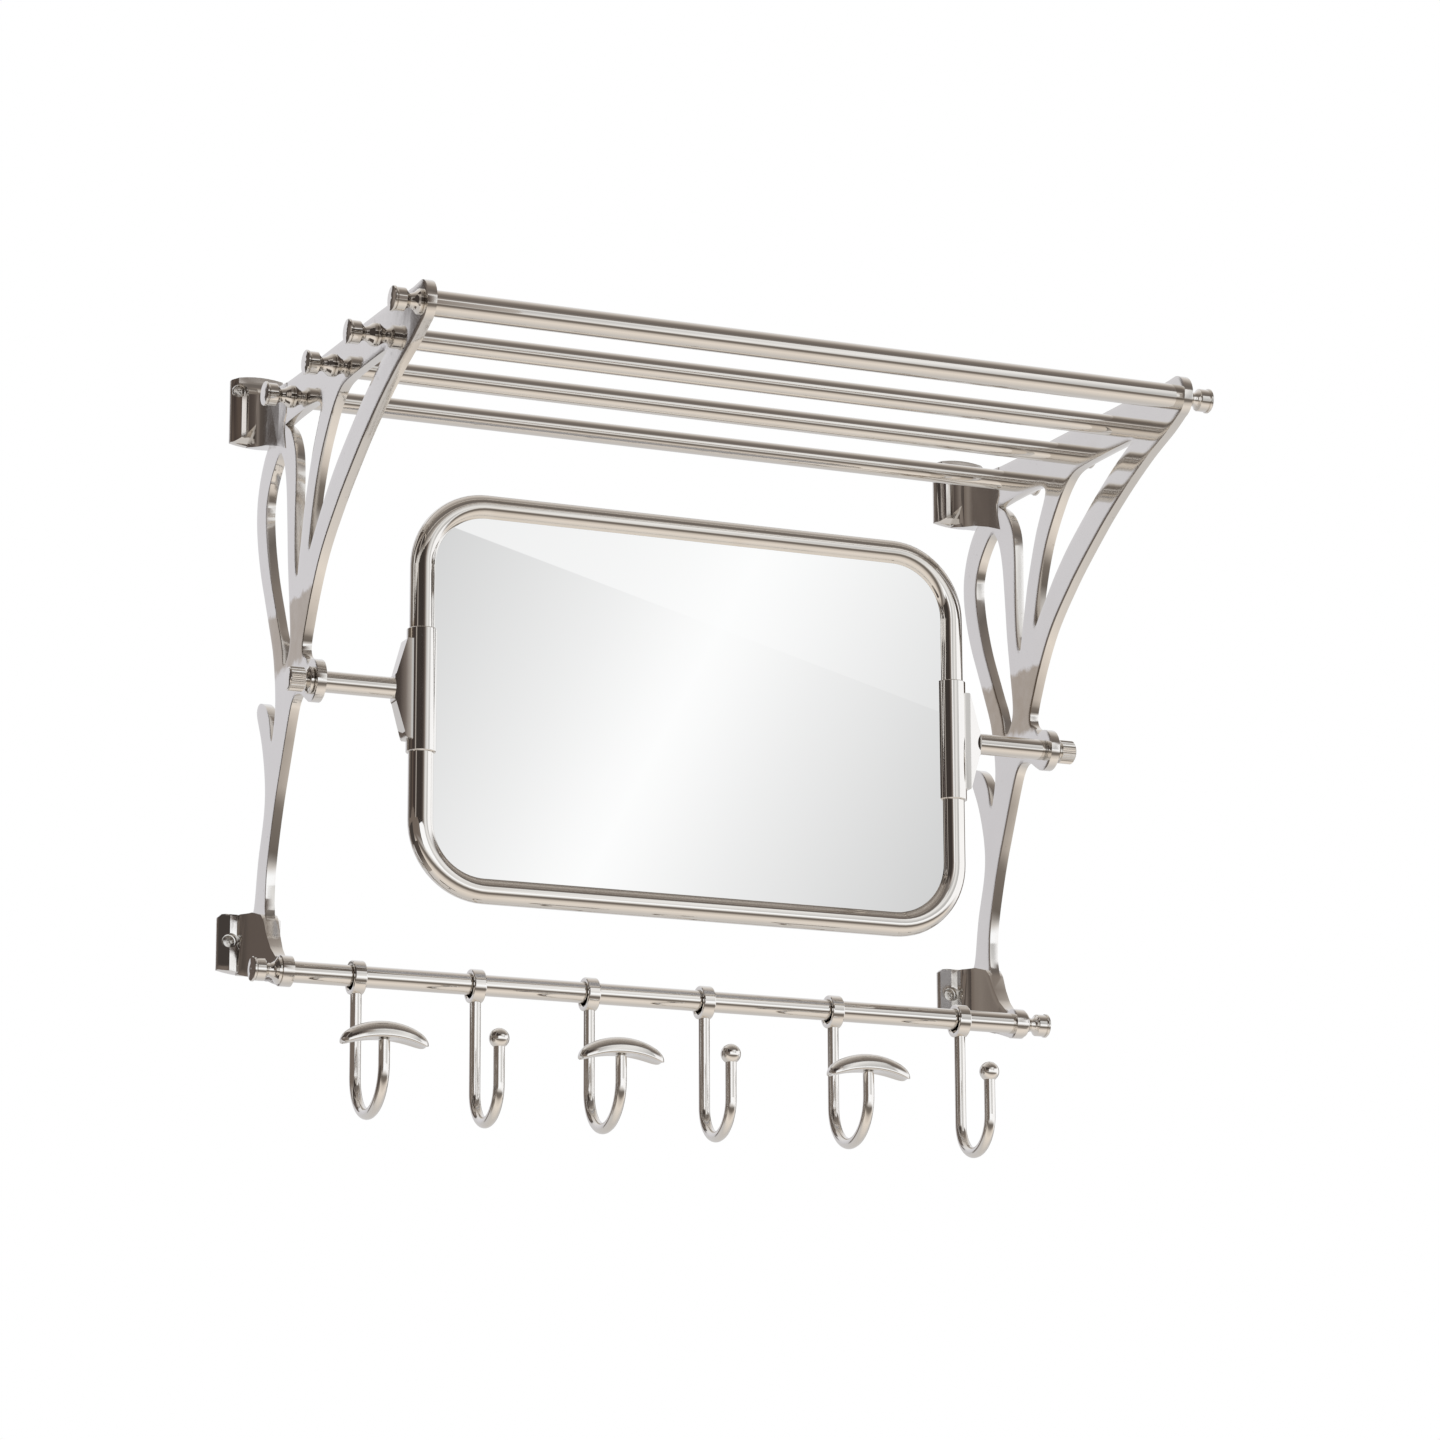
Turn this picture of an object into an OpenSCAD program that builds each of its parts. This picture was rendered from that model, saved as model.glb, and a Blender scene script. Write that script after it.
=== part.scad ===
// Wall-hung coat rack: two openwork cast brackets carry four shelf rods for hats
// and luggage, a tilting mirror and a rail with six sliding hooks.
// Millimetres. The wall is the plane Y = 0, the rack stands out towards -Y,
// +X is to the right and +Z is up. The origin is the centre of the wall screws.

/* [Rack] */
// Distance between the middle planes of the two brackets
bracket_span = 600; // [580:5:680]
// Thickness of the flat bracket ribs
bracket_t = 7; // [6:0.5:8]
// Diameter of the front shelf rod
front_rod_d = 19; // [17:0.5:20]
// Diameter of the other shelf rods and of the hook rail
rod_d = 16; // [14:0.5:16]
// Wall thickness of the rod tubes
rod_wall = 1.5; // [1:0.1:1.8]
// Diameter of the fixing studs behind the end caps
stud_d = 7.9; // [6:0.1:7.9]

/* [Mirror] */
// Width of the mirror frame, between the middles of its side tubes
mirror_w = 435; // [400:5:450]
// Height of the mirror frame, between the middles of its top and bottom tubes
mirror_h = 293.5; // [260:0.5:300]
// Diameter of the mirror frame tube
mirror_tube_d = 19; // [17:0.5:19]
// Bend radius of the frame corners, at the middle of the tube
mirror_corner_r = 50; // [42:1:60]
// Thickness of the mirror glass
glass_t = 4; // [3:0.5:4]
// Length of the saddle sleeve that carries each side of the mirror
saddle_len = 94; // [80:2:100]
// Diameter of the pivot spindles
spindle_d = 16; // [14:0.5:17]

/* [Hooks] */
// Wire diameter of the hooks
hook_wire_d = 8.5; // [7:0.5:9]
// Distance between the two legs of a hat hook
hat_hook_reach = 64; // [56:1:68]
// Distance between the two legs of a coat hook
coat_hook_reach = 51; // [46:1:56]
// Ball diameter on the coat hooks
ball_d = 15.2; // [13:0.2:17]
// Length of the curved hat rest
hat_rest_len = 67; // [62:1:72]
// Width of the hat rest
hat_rest_w = 20; // [17:0.5:22]

/* [Wall fixing] */
// Distance of each wall screw from the middle of its bracket
screw_offset = 16.5; // [15:0.5:17]
// Vertical distance between the upper and lower wall screws
screw_rise = 431; // [429:1:433]
// Diameter of the wall screws
screw_d = 4.8; // [4:0.1:5]
// How far the wall screws reach into the wall
screw_reach = 36; // [20:1:50]

/* [Hidden] */
$fn = 64;

nickel = [0.78, 0.76, 0.73];
nickel_dark = [0.55, 0.53, 0.51];
steel_grey = [0.6, 0.6, 0.62];
mirror_grey = [0.86, 0.88, 0.89];

half_span = bracket_span / 2;
inner_face = half_span - bracket_t / 2;
outer_face = half_span + bracket_t / 2;
rod_len = 2 * inner_face;

// Distance from the wall and height of each rod
front_rod = [381, 177];
second_rod = [285, 181];
third_rod = [191, 185];
back_rod = [95, 188];
rail = [91.5, -251.5];

// Mirror pivot, distance from the wall and height
pivot = [152.5, -45.5];
mirror_drop = 0.75;
mirror_z = pivot[1] - mirror_drop;
slot_t = glass_t + 1.2;
frame_bore = mirror_tube_d - 3;
glass_edge = mirror_tube_d / 2 - 3.5;
saddle_r = mirror_tube_d / 2 + 1.9;
web_top = mirror_w / 2 + 22.5;
pivot_stud_d = 8;
washer_t = 0.8;
face_gap = 0.1;

// Hooks hang with the top of the ring bore on the rail
ring_bore_r = rod_d / 2 + 1.2;
ring_r = ring_bore_r + 3.6;
ring_w = 9.8;
ring_z = rail[1] - 1.15;
hook_low = -363;
hook_x = [-244.5, -150.5, -59, 35, 142.5, 250.5];

// Screw holes in a wall plate
upper_z = screw_rise / 2;
lower_z = -screw_rise / 2;

// ---- curves -------------------------------------------------------------
function cr_pt(a, b, c, d, t) =
  0.5 * (2 * b + (c - a) * t + (2 * a - 5 * b + 4 * c - d) * t * t + (3 * b - a - 3 * c + d) * t * t * t);
function flow(p, n = 3) = [for (i = [0:len(p) - 2]) for (k = [0:n - 1])
    cr_pt(p[max(i - 1, 0)], p[i], p[i + 1], p[min(i + 2, len(p) - 1)], k / n), p[len(p) - 1]];
function arc(c, r, a0, a1, n) = [for (i = [0:n]) let (a = a0 + (a1 - a0) * i / n) [c[0] + r * cos(a), c[1] + r * sin(a)]];
// The side view is drawn as distance from the wall and height
function side(p) = [for (q = p) [-q[0], q[1]]];

// Top edge of the shelf arm, from the wall plate to the front boss
arm_top = flow([[0, 227], [6, 226], [10.4, 218.5], [18, 211], [30, 207.4], [48, 205], [70, 203], [100, 201.3],
    [150, 199.6], [200, 198.2], [250, 197], [300, 195.5], [340, 193.8], [365, 192.4], [378, 192.7]]);
front_boss = arc(front_rod, 16, 82, -78, 14);
// Front edge, from the front boss down to the pivot ear
strut_front = flow([[381, 159.8], [366, 153.6], [350, 148.5], [330, 141.5], [300, 128.8], [270, 114], [250, 102.8],
    [220, 84.5], [200, 70.6], [180, 55], [165, 40.2], [150, 20], [140, 3], [133.5, -9.5], [132, -17], [134.5, -22.5], [141, -26.6]]);
ear_boss = arc(pivot, 16, 118, -112, 16);
// Underside of the ear and the front edge of the stem down to the rail boss
stem_front = flow([[139, -56.2], [131, -51.4], [122, -48.8], [115, -49], [109, -53], [104, -60], [97, -73], [90, -87], [83.5, -100],
    [76, -115], [69.5, -130], [63.8, -145], [59.4, -158], [56, -171], [54.4, -185], [54.6, -197], [57.6, -208], [63.5, -220], [71.5, -231], [80, -238]]);
rail_boss = arc(rail, 11.5, 112, -100, 12);
foot_low = [[64, -255], [0, -237.5]];
// Rear edge of the stem with its leaf bud, then the outer edge of the loop
bud = flow([[0, -200], [10, -200.2], [19, -199], [25, -195], [28, -188], [30, -179], [32, -169], [35, -157], [39.4, -145],
    [44, -133], [47.2, -121], [48, -109], [46.6, -97], [43.6, -85], [39.8, -73.5], [35.2, -63], [30, -53.5], [26.2, -46.5],
    [25, -41.5], [27.4, -37.8], [32.5, -36.6], [39, -38.2], [46, -42], [52, -47.8], [56.2, -54.4], [58.8, -62], [60.6, -71.5]]);
loop_rear = flow([[62.4, -71.5], [66.2, -62], [68.6, -51], [68.6, -38], [66, -21], [62.2, -6], [58, 4.5], [53, 15], [46, 29.5],
    [38.4, 45], [31, 60], [25, 75], [20, 91], [17, 108], [17.6, 124], [22, 137.5], [28, 148], [35.5, 157], [44, 163.4]]);
arm_root = [[24, 167.5], [0, 172.5]];

// Large opening between the arm, the front strut and the middle strut
opening_front = concat(
  flow([[313, 162], [300, 163.2], [260, 164.2], [226, 164.2], [212, 162], [202, 156.6], [193, 149.6], [184, 140.4],
      [175, 130], [167.6, 120], [161.8, 110], [157, 100], [153, 90], [149.6, 80], [146.6, 70], [143.8, 60], [143.2, 56.4]]),
  flow([[145, 56.8], [152, 64], [165, 76], [180, 89.6], [200, 104.6], [220, 117], [240, 128.4], [260, 139], [280, 148.6], [300, 157], [311, 160.8]]));
// Opening between the middle strut and the inner stem
opening_middle = concat(
  flow([[82, 169.6], [100, 170], [130, 169.4], [150, 168], [161, 165.4], [165.2, 161], [163.4, 155], [158, 146.6], [150, 134.4], [145, 125],
      [140, 114], [135, 102], [130.4, 90], [126.6, 77], [121, 58], [117, 43.6]]),
  flow([[115, 42.8], [113.4, 48], [111.6, 60], [110.8, 80], [111, 100], [111.4, 120], [110, 137], [106.4, 147], [101.2, 155], [95, 161.4], [88, 166.2]]));
// Teardrop opening inside the loop
opening_loop = concat(
  flow([[74, 149.4], [80.6, 141], [85, 130], [88.2, 115], [90.2, 97], [91.8, 80], [93.6, 60], [96.4, 40], [99.4, 20], [101.4, 6],
      [101.4, -5], [98.2, -13], [93, -18.4], [89, -20.4], [86.6, -17.6]]),
  flow([[85, -8], [80.6, 3], [74.6, 14], [67.6, 28], [61, 41], [54.8, 54], [49, 69], [44, 85], [41, 100], [40.4, 112], [43, 122],
      [48.2, 131], [55, 138.6], [62.4, 145], [69, 149.2]]));

rib_outline = concat(arm_top, front_boss, strut_front, ear_boss, stem_front, rail_boss, foot_low, bud, loop_rear, arm_root);

// ---- building blocks ----------------------------------------------------
// Extrudes a side view across X, centred on the plane X = x
module slab(x, t) { translate([x - t / 2, 0, 0]) rotate([90, 0, 90]) linear_extrude(t) children(); }
// A turned piece along X, from x in the direction s
module turned(x, pos, s) { translate([x, -pos[0], pos[1]]) rotate([0, s * 90, 0]) rotate_extrude() children(); }
// A plain hole or rod along X between x0 and x1
module along_x(x0, x1, pos, d) { translate([x0, -pos[0], pos[1]]) rotate([0, 90, 0]) cylinder(h = x1 - x0, d = d); }
module rounded_rect(w, h, r) {
  square([w - 2 * r, h], center = true);
  square([w, h - 2 * r], center = true);
  for (x = [-1, 1], y = [-1, 1]) translate([x * (w / 2 - r), y * (h / 2 - r)]) circle(r);
}

// ---- bracket ------------------------------------------------------------
// Half width of the wall block against distance from the wall
upper_flare = [[22, 0], [22, 4.8], [21.3, 6], [19.4, 7.6], [16.8, 10.4], [14.2, 14], [11.9, 18], [10.1, 22], [8.8, 25.6], [8, 28.6], [7.3, 33], [6.6, 41], [5.6, 55], [4.7, 69], [3.9, 84]];
lower_flare = [[24.5, 0], [24.5, 4.8], [23.8, 6], [21.6, 7.6], [18.6, 10.4], [15.6, 14.2], [13, 18.6], [11.2, 22.6], [9.9, 26.4], [9, 29.8], [8.2, 35], [7.2, 44], [5.9, 58], [4.9, 70], [3.9, 84]];
module flare_plan(p) {
  e = bracket_t / 2 - 3.5;
  q = [for (a = p) [a[0] + e, -a[1]]];
  m = [for (i = [len(q) - 1:-1:0]) [-q[i][0], q[i][1]]];
  polygon(concat(q, m));
}
upper_side = [[0, 171.5], [44, 163.4], [66, 157], [84, 150.5], [80, 163], [80, 172], [84, 178], [84, 202.2], [70, 203], [48, 205],
  [30, 207.4], [18, 211], [11, 216.5], [9.5, 222], [9.5, 230], [0, 230]];
lower_side = [[0, -242], [9, -242], [14, -241.4], [64, -255], [84, -257], [84, -240.4], [80, -238], [71.5, -231], [63.5, -220],
  [57.6, -208], [52, -202.5], [36, -198], [9, -196], [9, -193], [0, -193]];
upper_face = concat([[-22, 175], [-22, 224.8]], [for (i = [1:7]) let (x = -22 + 44 * i / 8) [x, 227.6 - 2.8 * (x / 22) * (x / 22)]], [[22, 224.8], [22, 175]],
  [for (i = [1:7]) let (x = 22 - 44 * i / 8) [x, 172.4 + 2.6 * (x / 22) * (x / 22)]]);
lower_face = concat([[-24.5, -237], [-24.5, -197], [-22.5, -195], [22.5, -195], [24.5, -197], [24.5, -237]],
  [for (i = [1:7]) let (x = 24.5 - 49 * i / 8) [x, -240 + 3 * (x / 24.5) * (x / 24.5)]]);

module wall_block(xc, plan, sidep, face, z0, z1) {
  intersection() {
    translate([xc, 0, z0]) linear_extrude(z1 - z0) flare_plan(plan);
    slab(xc, 60) polygon(side(sidep));
    union() {
      translate([xc, 0, 0]) rotate([90, 0, 0]) linear_extrude(12) polygon(face);
      translate([xc - 12, -90, -262]) cube([24, 80, 500]);
    }
  }
}
module screw_hole(x, z, seat) {
  translate([x, 0, z]) rotate([90, 0, 0]) {
    translate([0, 0, -1]) cylinder(h = 20, d = screw_d + 0.6);
    translate([0, 0, seat - 2.45]) cylinder(h = 2.46, r1 = screw_d / 2 + 0.35, r2 = 4.85);
    translate([0, 0, seat]) cylinder(h = 30, r = 5.5);
  }
}
module bracket(xc) {
  difference() {
    union() {
      slab(xc, bracket_t) difference() {
        polygon(side(rib_outline));
        polygon(side(opening_front));
        polygon(side(opening_middle));
        polygon(side(opening_loop));
      }
      wall_block(xc, upper_flare, upper_side, upper_face, 140, 236);
      wall_block(xc, lower_flare, lower_side, lower_face, -262, -190);
      along_x(xc - bracket_t / 2 - 0.8, xc + bracket_t / 2 + 0.8, rail, 23);
    }
    for (p = [front_rod, second_rod, third_rod, back_rod, rail]) along_x(xc - 12, xc + 12, p, stud_d + 0.5);
    along_x(xc - 12, xc + 12, pivot, pivot_stud_d + 0.1);
    for (s = [-1, 1]) {
      screw_hole(xc + s * screw_offset, upper_z, 5.6);
      screw_hole(xc + s * screw_offset, lower_z, 5.6);
      slab(xc + s * 16.6, 16) polygon(side([[5.2, 170], [5.2, 174.2], [30, 186.6], [30, 170]]));
    }
  }
}
module bracket_left() { color(nickel) bracket(-half_span); }
module bracket_right() { color(nickel) bracket(half_span); }

// ---- shelf rods and hook rail -------------------------------------------
module tube_rod(pos, d, inset) {
  difference() {
    along_x(-inner_face + inset, inner_face - inset, pos, d);
    along_x(-inner_face - 1, inner_face + 1, pos, d - 2 * rod_wall);
  }
}
module shelf_rod_front() { color(nickel) tube_rod(front_rod, front_rod_d, 0); }
module shelf_rod_second() { color(nickel) tube_rod(second_rod, rod_d, 0); }
module shelf_rod_third() { color(nickel) tube_rod(third_rod, rod_d, 0); }
module shelf_rod_back() { color(nickel) tube_rod(back_rod, rod_d, 0); }
module hook_rail() { color(nickel) tube_rod(rail, rod_d, 0.8); }

// Threaded plugs fixed in the rod ends, which take the end cap studs
module plug_pair(pos, d, inset) {
  for (s = [-1, 1]) difference() {
    turned(s * (inner_face - inset), pos, -s) square([d / 2 - rod_wall - 0.05, 20]);
    turned(s * (inner_face - inset + 1), pos, -s) square([stud_d / 2 + 0.05, 24]);
  }
}
module front_rod_plugs() { color(steel_grey) plug_pair(front_rod, front_rod_d, 0); }
module shelf_rod_plugs() { color(steel_grey) { plug_pair(second_rod, rod_d, 0); plug_pair(third_rod, rod_d, 0); plug_pair(back_rod, rod_d, 0); } }
module hook_rail_plugs() { color(steel_grey) plug_pair(rail, rod_d, 0.8); }

// Turned end cap: bell foot, waist, barrel and a tip disc, with its stud
module end_cap(s, pos, foot_r, inset) {
  turned(s * (outer_face + inset), pos, s) polygon(concat(
    [[0, -22], [stud_d / 2 - 0.6, -22], [stud_d / 2, -21], [stud_d / 2, 0], [foot_r - 0.5, 0], [foot_r, 0.5], [foot_r, 1.6]],
    flow([[foot_r - 0.3, 2.4], [7, 4.2], [5.8, 6], [5.25, 8], [5.6, 9.6], [6.9, 11.1], [8.1, 11.9]]),
    [[8.5, 12.4], [8.5, 18.6], [8, 19], [8, 19.5], [8.9, 19.5], [9.25, 19.9], [9.25, 21], [8.8, 21.5 - 0.05], [4, 21.8 - 0.05], [0, 21.9 - 0.05]]));
}
module front_rod_end_cap_left() { color(nickel) end_cap(-1, front_rod, 9.2, 0); }
module front_rod_end_cap_right() { color(nickel) end_cap(1, front_rod, 9.2, 0); }
module second_rod_end_cap_left() { color(nickel) end_cap(-1, second_rod, 8.6, 0); }
module second_rod_end_cap_right() { color(nickel) end_cap(1, second_rod, 8.6, 0); }
module third_rod_end_cap_left() { color(nickel) end_cap(-1, third_rod, 8.6, 0); }
module third_rod_end_cap_right() { color(nickel) end_cap(1, third_rod, 8.6, 0); }
module back_rod_end_cap_left() { color(nickel) end_cap(-1, back_rod, 8.6, 0); }
module back_rod_end_cap_right() { color(nickel) end_cap(1, back_rod, 8.6, 0); }
module hook_rail_end_cap_left() { color(nickel) end_cap(-1, rail, 10, 0.8); }
module hook_rail_end_cap_right() { color(nickel) end_cap(1, rail, 10, 0.8); }

// ---- wall screws --------------------------------------------------------
module wall_screw(x, z) {
  translate([x, 0, z]) rotate([90, 0, 0]) difference() {
    rotate_extrude() polygon([[0, -screw_reach], [0.4, -screw_reach], [screw_d / 2, -screw_reach + 7], [screw_d / 2, 0], [screw_d / 2 + 0.2, 0],
        [screw_d / 2 + 0.2, 3.1], [4.7, 5.5], [4.7, 5.7], [4.2, 6.2], [2.4, 6.5], [0, 6.6]]);
    for (a = [45, 135]) rotate(a) translate([-2.1, -0.5, 4.9]) cube([4.2, 1, 3]);
  }
}
module wall_screws() {
  color(nickel_dark) for (b = [-1, 1], s = [-1, 1], z = [upper_z, lower_z]) wall_screw(b * half_span + s * screw_offset, z);
}

// ---- mirror -------------------------------------------------------------
// One bent half of the frame tube: u = 1 is the upper half, u = -1 the lower
module half_path(u, d) {
  r = mirror_corner_r;
  zc = mirror_z + u * (mirror_h / 2 - r);
  for (s = [-1, 1]) {
    translate([s * mirror_w / 2, -pivot[0], min(zc, pivot[1])]) cylinder(h = abs(zc - pivot[1]), d = d);
    translate([s * (mirror_w / 2 - r), -pivot[0], zc]) rotate([90, 0, 0])
      rotate((u > 0 ? 0 : 270) + (s > 0 ? 0 : (u > 0 ? 90 : 270))) rotate_extrude(angle = 90) translate([r, 0]) circle(d = d);
  }
  translate([-(mirror_w / 2 - r), -pivot[0], mirror_z + u * mirror_h / 2]) rotate([0, 90, 0]) cylinder(h = mirror_w - 2 * r, d = d);
}
module glass_slot(t, in) {
  translate([0, -pivot[0] + t / 2, mirror_z]) rotate([90, 0, 0]) linear_extrude(t)
    rounded_rect(mirror_w - 2 * in, mirror_h - 2 * in, mirror_corner_r - in);
}
module frame_half(u) {
  difference() {
    half_path(u, mirror_tube_d);
    half_path(u, frame_bore);
    glass_slot(slot_t, 2.5);
  }
}
module mirror_frame_upper() { color(nickel) frame_half(1); }
module mirror_frame_lower() { color(nickel) frame_half(-1); }
module pane(y0, t) {
  translate([0, y0, mirror_z]) rotate([90, 0, 0]) linear_extrude(t)
    rounded_rect(mirror_w - 2 * glass_edge, mirror_h - 2 * glass_edge, mirror_corner_r - glass_edge);
}
// The glass lies in the front of the slot and the backing sheet behind it
module mirror_glass() { color(mirror_grey) pane(-pivot[0] - slot_t / 2 + 0.1 + glass_t, glass_t); }
module mirror_back_sheet() { color(steel_grey) pane(-pivot[0] - slot_t / 2 + 0.1 + glass_t + 1, 1); }

// Saddle: a sleeve round the side tube with a diamond web that takes the spindle
module saddle(s) {
  cx = s * mirror_w / 2;
  root = mirror_w / 2 + 1;
  toe = mirror_w / 2 + 13.8;
  lens_r = 55;
  lens_x = mirror_w / 2 + 8;
  web_half = 7.3;
  difference() {
    union() {
      translate([cx, -pivot[0], pivot[1] - saddle_len / 2]) rotate_extrude()
        polygon([[0, 0], [saddle_r - 0.5, 0], [saddle_r, 0.5], [saddle_r, saddle_len - 0.5], [saddle_r - 0.5, saddle_len], [0, saddle_len]]);
      intersection() {
        translate([0, -pivot[0] + 12, pivot[1]]) rotate([90, 0, 0]) linear_extrude(24)
          polygon([[s * root, -38], [s * (toe - 0.8), -38], [s * toe, -37.2], [s * (web_top - 1), -10.8], [s * web_top, -9.4], [s * web_top, 9.4],
              [s * (web_top - 1), 10.8], [s * toe, 37.2], [s * (toe - 0.8), 38], [s * root, 38]]);
        translate([s * lens_x, -pivot[0] + lens_r - web_half, pivot[1] - 40]) cylinder(h = 80, r = lens_r, $fn = 240);
        translate([s * lens_x, -pivot[0] - lens_r + web_half, pivot[1] - 40]) cylinder(h = 80, r = lens_r, $fn = 240);
      }
    }
    translate([cx, -pivot[0], pivot[1] - saddle_len]) cylinder(h = 2 * saddle_len, d = mirror_tube_d + 0.1);
    glass_slot(slot_t, 2.5);
    translate([s * (web_top - 8.7), -pivot[0], pivot[1]]) rotate([0, s * 90, 0]) cylinder(h = 12, d = 8.1);
  }
}
module mirror_saddle_left() { color(nickel) saddle(-1); }
module mirror_saddle_right() { color(nickel) saddle(1); }

// Spindle: spigot in the web, body up to the ear, stud through the ear
module spindle(s) {
  a = inner_face - face_gap - washer_t - web_top;
  turned(s * web_top, pivot, s) polygon([[0, -8.5], [3.6, -8.5], [4, -8], [4, 0], [spindle_d / 2, 0], [spindle_d / 2, a - 0.6], [spindle_d / 2 - 0.6, a],
      [pivot_stud_d / 2, a], [pivot_stud_d / 2, a + washer_t + bracket_t + 13], [pivot_stud_d / 2 - 0.8, a + washer_t + bracket_t + 14], [0, a + washer_t + bracket_t + 14]]);
}
module pivot_spindle_left() { color(nickel) spindle(-1); }
module pivot_spindle_right() { color(nickel) spindle(1); }
module pivot_washer(s) {
  turned(s * (inner_face - face_gap - washer_t), pivot, s) translate([pivot_stud_d / 2 + 0.05, 0]) square([3.6, washer_t]);
}
module pivot_washer_left() { color(nickel_dark) pivot_washer(-1); }
module pivot_washer_right() { color(nickel_dark) pivot_washer(1); }

// Knurled clamp knob: bell foot against the ear, neck and knurled grip
module tilt_knob(s) {
  teeth = 40;
  difference() {
    union() {
      turned(s * (outer_face + face_gap), pivot, s) polygon(concat([[0, 0], [9.6, 0], [10.3, 0.7], [10.3, 2]],
        flow([[10, 2.8], [8, 4], [6.7, 5], [6.4, 6], [7, 6.8]]), [[7, 7.4], [0, 7.4]]));
      translate([s * (outer_face + face_gap + 6.6), -pivot[0], pivot[1]]) rotate([0, s * 90, 0])
        linear_extrude(10.8) polygon([for (i = [0:teeth - 1]) for (k = [0:1]) let (a = (i + k / 2) * 360 / teeth, r = k == 0 ? 9.1 : 8.6) [r * cos(a), r * sin(a)]]);
      turned(s * (outer_face + face_gap + 17.4), pivot, s) polygon([[0, -0.6], [8.2, -0.6], [8.2, 0.4], [7.7, 0.9], [0, 1.3]]);
    }
    along_x(s > 0 ? outer_face - 1 : -(outer_face + 15), s > 0 ? outer_face + 15 : -(outer_face - 1), pivot, pivot_stud_d + 0.1);
  }
}
module tilt_knob_left() { color(nickel) tilt_knob(-1); }
module tilt_knob_right() { color(nickel) tilt_knob(1); }

// ---- hooks --------------------------------------------------------------
module hook_ring(i) {
  color(nickel) turned(hook_x[i] - ring_w / 2, [rail[0], ring_z], 1)
    polygon([[ring_bore_r, 0.8], [ring_bore_r + 0.5, 0.2], [ring_bore_r + 1, 0], [ring_r - 0.9, 0], [ring_r - 0.3, 0.3], [ring_r, 0.9], [ring_r, ring_w - 0.9],
        [ring_r - 0.3, ring_w - 0.3], [ring_r - 0.9, ring_w], [ring_bore_r + 1, ring_w], [ring_bore_r + 0.5, ring_w - 0.2], [ring_bore_r, ring_w - 0.8]]);
}
// Shank, U bend and front leg with its spigot, from the ring to the tip
module hook_rod(i, reach, leg_top, spigot) {
  bend = reach / 2;
  zb = hook_low + hook_wire_d / 2 + bend;
  color(nickel) difference() {
    translate([hook_x[i], -rail[0], 0]) {
      translate([0, 0, zb]) cylinder(h = ring_z - zb, d = hook_wire_d);
      translate([0, -bend, zb]) rotate([0, 90, 0]) rotate([0, 0, 270]) rotate_extrude(angle = 180) translate([bend, 0]) circle(d = hook_wire_d);
      translate([0, -reach, zb]) cylinder(h = leg_top - zb, d = hook_wire_d);
      translate([0, -reach, leg_top - 1]) cylinder(h = spigot + 1, d = 5);
    }
    along_x(hook_x[i] - 10, hook_x[i] + 10, [rail[0], ring_z], 2 * ring_r + 0.1);
  }
}
// Ball with a flat seat on the front leg
ball_z = -300;
ball_seat = ball_z - 6.3;
module hook_ball(i) {
  color(nickel) translate([hook_x[i], -rail[0] - coat_hook_reach, 0]) difference() {
    translate([0, 0, ball_z]) sphere(d = ball_d);
    translate([-10, -10, ball_seat - 10]) cube([20, 20, 10]);
    translate([0, 0, ball_seat - 1]) cylinder(h = 7.2, d = 5.1);
  }
}
// Curved hat rest: a crowned saddle with blunt round ends, arched below
rest_top = -295.5;
rest_under = -309.5;
rest_r = 56;
function blunt(v) = sign(v) * pow(abs(v), 0.6);
module hook_rest(i) {
  a = hat_rest_len / 2;
  b = hat_rest_w / 2;
  color(nickel) translate([hook_x[i], -rail[0] - hat_hook_reach, 0]) difference() {
    intersection() {
      translate([0, 0, rest_top - rest_r]) rotate([90, 0, 0]) rotate_extrude() translate([rest_r - b - 0.5, 0]) circle(r = b + 0.5);
      translate([0, 0, rest_under - 12]) linear_extrude(30) polygon([for (k = [0:95]) [a * blunt(cos(k * 3.75)), b * blunt(sin(k * 3.75))]]);
    }
    translate([0, 30, rest_under - 90]) rotate([90, 0, 0]) cylinder(h = 60, r = 90, $fn = 128);
    translate([0, 0, rest_under - 2]) cylinder(h = 7.2, d = 5.1);
  }
}

bracket_left();
bracket_right();
shelf_rod_front();
shelf_rod_second();
shelf_rod_third();
shelf_rod_back();
hook_rail();
front_rod_plugs();
shelf_rod_plugs();
hook_rail_plugs();
front_rod_end_cap_left();
front_rod_end_cap_right();
second_rod_end_cap_left();
second_rod_end_cap_right();
third_rod_end_cap_left();
third_rod_end_cap_right();
back_rod_end_cap_left();
back_rod_end_cap_right();
hook_rail_end_cap_left();
hook_rail_end_cap_right();
wall_screws();
mirror_frame_upper();
mirror_frame_lower();
mirror_glass();
mirror_back_sheet();
mirror_saddle_left();
mirror_saddle_right();
pivot_spindle_left();
pivot_spindle_right();
pivot_washer_left();
pivot_washer_right();
tilt_knob_left();
tilt_knob_right();
hook_ring(0);  // hat_hook_left_ring
hook_rod(0, hat_hook_reach, rest_under - 0.2, 5);  // hat_hook_left_rod
hook_rest(0);  // hat_hook_left_rest
hook_ring(1);  // coat_hook_left_ring
hook_rod(1, coat_hook_reach, ball_seat, 5);  // coat_hook_left_rod
hook_ball(1);  // coat_hook_left_ball
hook_ring(2);  // hat_hook_middle_ring
hook_rod(2, hat_hook_reach, rest_under - 0.2, 5);  // hat_hook_middle_rod
hook_rest(2);  // hat_hook_middle_rest
hook_ring(3);  // coat_hook_middle_ring
hook_rod(3, coat_hook_reach, ball_seat, 5);  // coat_hook_middle_rod
hook_ball(3);  // coat_hook_middle_ball
hook_ring(4);  // hat_hook_right_ring
hook_rod(4, hat_hook_reach, rest_under - 0.2, 5);  // hat_hook_right_rod
hook_rest(4);  // hat_hook_right_rest
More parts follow.
